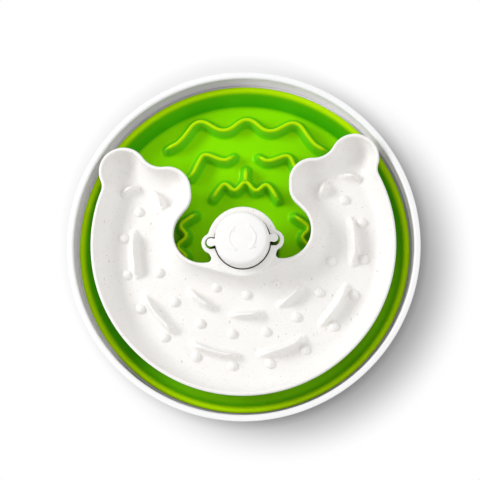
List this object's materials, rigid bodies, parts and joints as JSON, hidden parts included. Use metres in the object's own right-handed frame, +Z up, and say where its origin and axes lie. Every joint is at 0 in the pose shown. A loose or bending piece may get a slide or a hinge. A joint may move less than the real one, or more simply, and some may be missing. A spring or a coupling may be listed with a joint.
{
  "type": "slow feeder bowl",
  "caption": "Round slow feeder: white bowl on rubber feet, lift-out green dish with zigzag ridges, and a C-shaped nubbed tray on a quarter-turn knob.",
  "frame": {"origin": "centre of the bowl, at the underside of its rubber feet", "axes": "+Z up along the bowl's axis, +Y towards the open mouth of the C-shaped tray, +X to the right"},
  "size_m": [0.25, 0.25, 0.082],
  "materials": {
    "bowl_plastic": "satin white moulded plastic",
    "foot_rubber": "soft grey rubber",
    "insert_plastic": "glossy lime green moulded plastic",
    "tray_plastic": "warm white plastic with fine tan straw specks",
    "knob_plastic": "smooth white moulded plastic"
  },
  "bodies": {
    "bowl": {"bowl": "bowl_plastic", "foot_1": "foot_rubber", "foot_2": "foot_rubber", "foot_3": "foot_rubber", "foot_4": "foot_rubber"},
    "insert": {"insert": "insert_plastic"},
    "tray": {"tray": "tray_plastic"},
    "knob": {"knob": "knob_plastic"}
  },
  "joints": [
    {"name": "insert_lift", "type": "slide", "parent": "bowl", "child": "insert", "axis": [0, 0, 1], "range_m": [0, 0.08]},
    {"name": "tray_spin", "type": "hinge", "parent": "insert", "child": "tray", "pos_m": [0, 0, 0.0632], "axis": [0, 0, 1], "continuous": true},
    {"name": "knob_turn", "type": "hinge", "parent": "insert", "child": "knob", "pos_m": [0, 0, 0.0632], "axis": [0, 0, -1], "range_deg": [0, 90]}
  ]
}
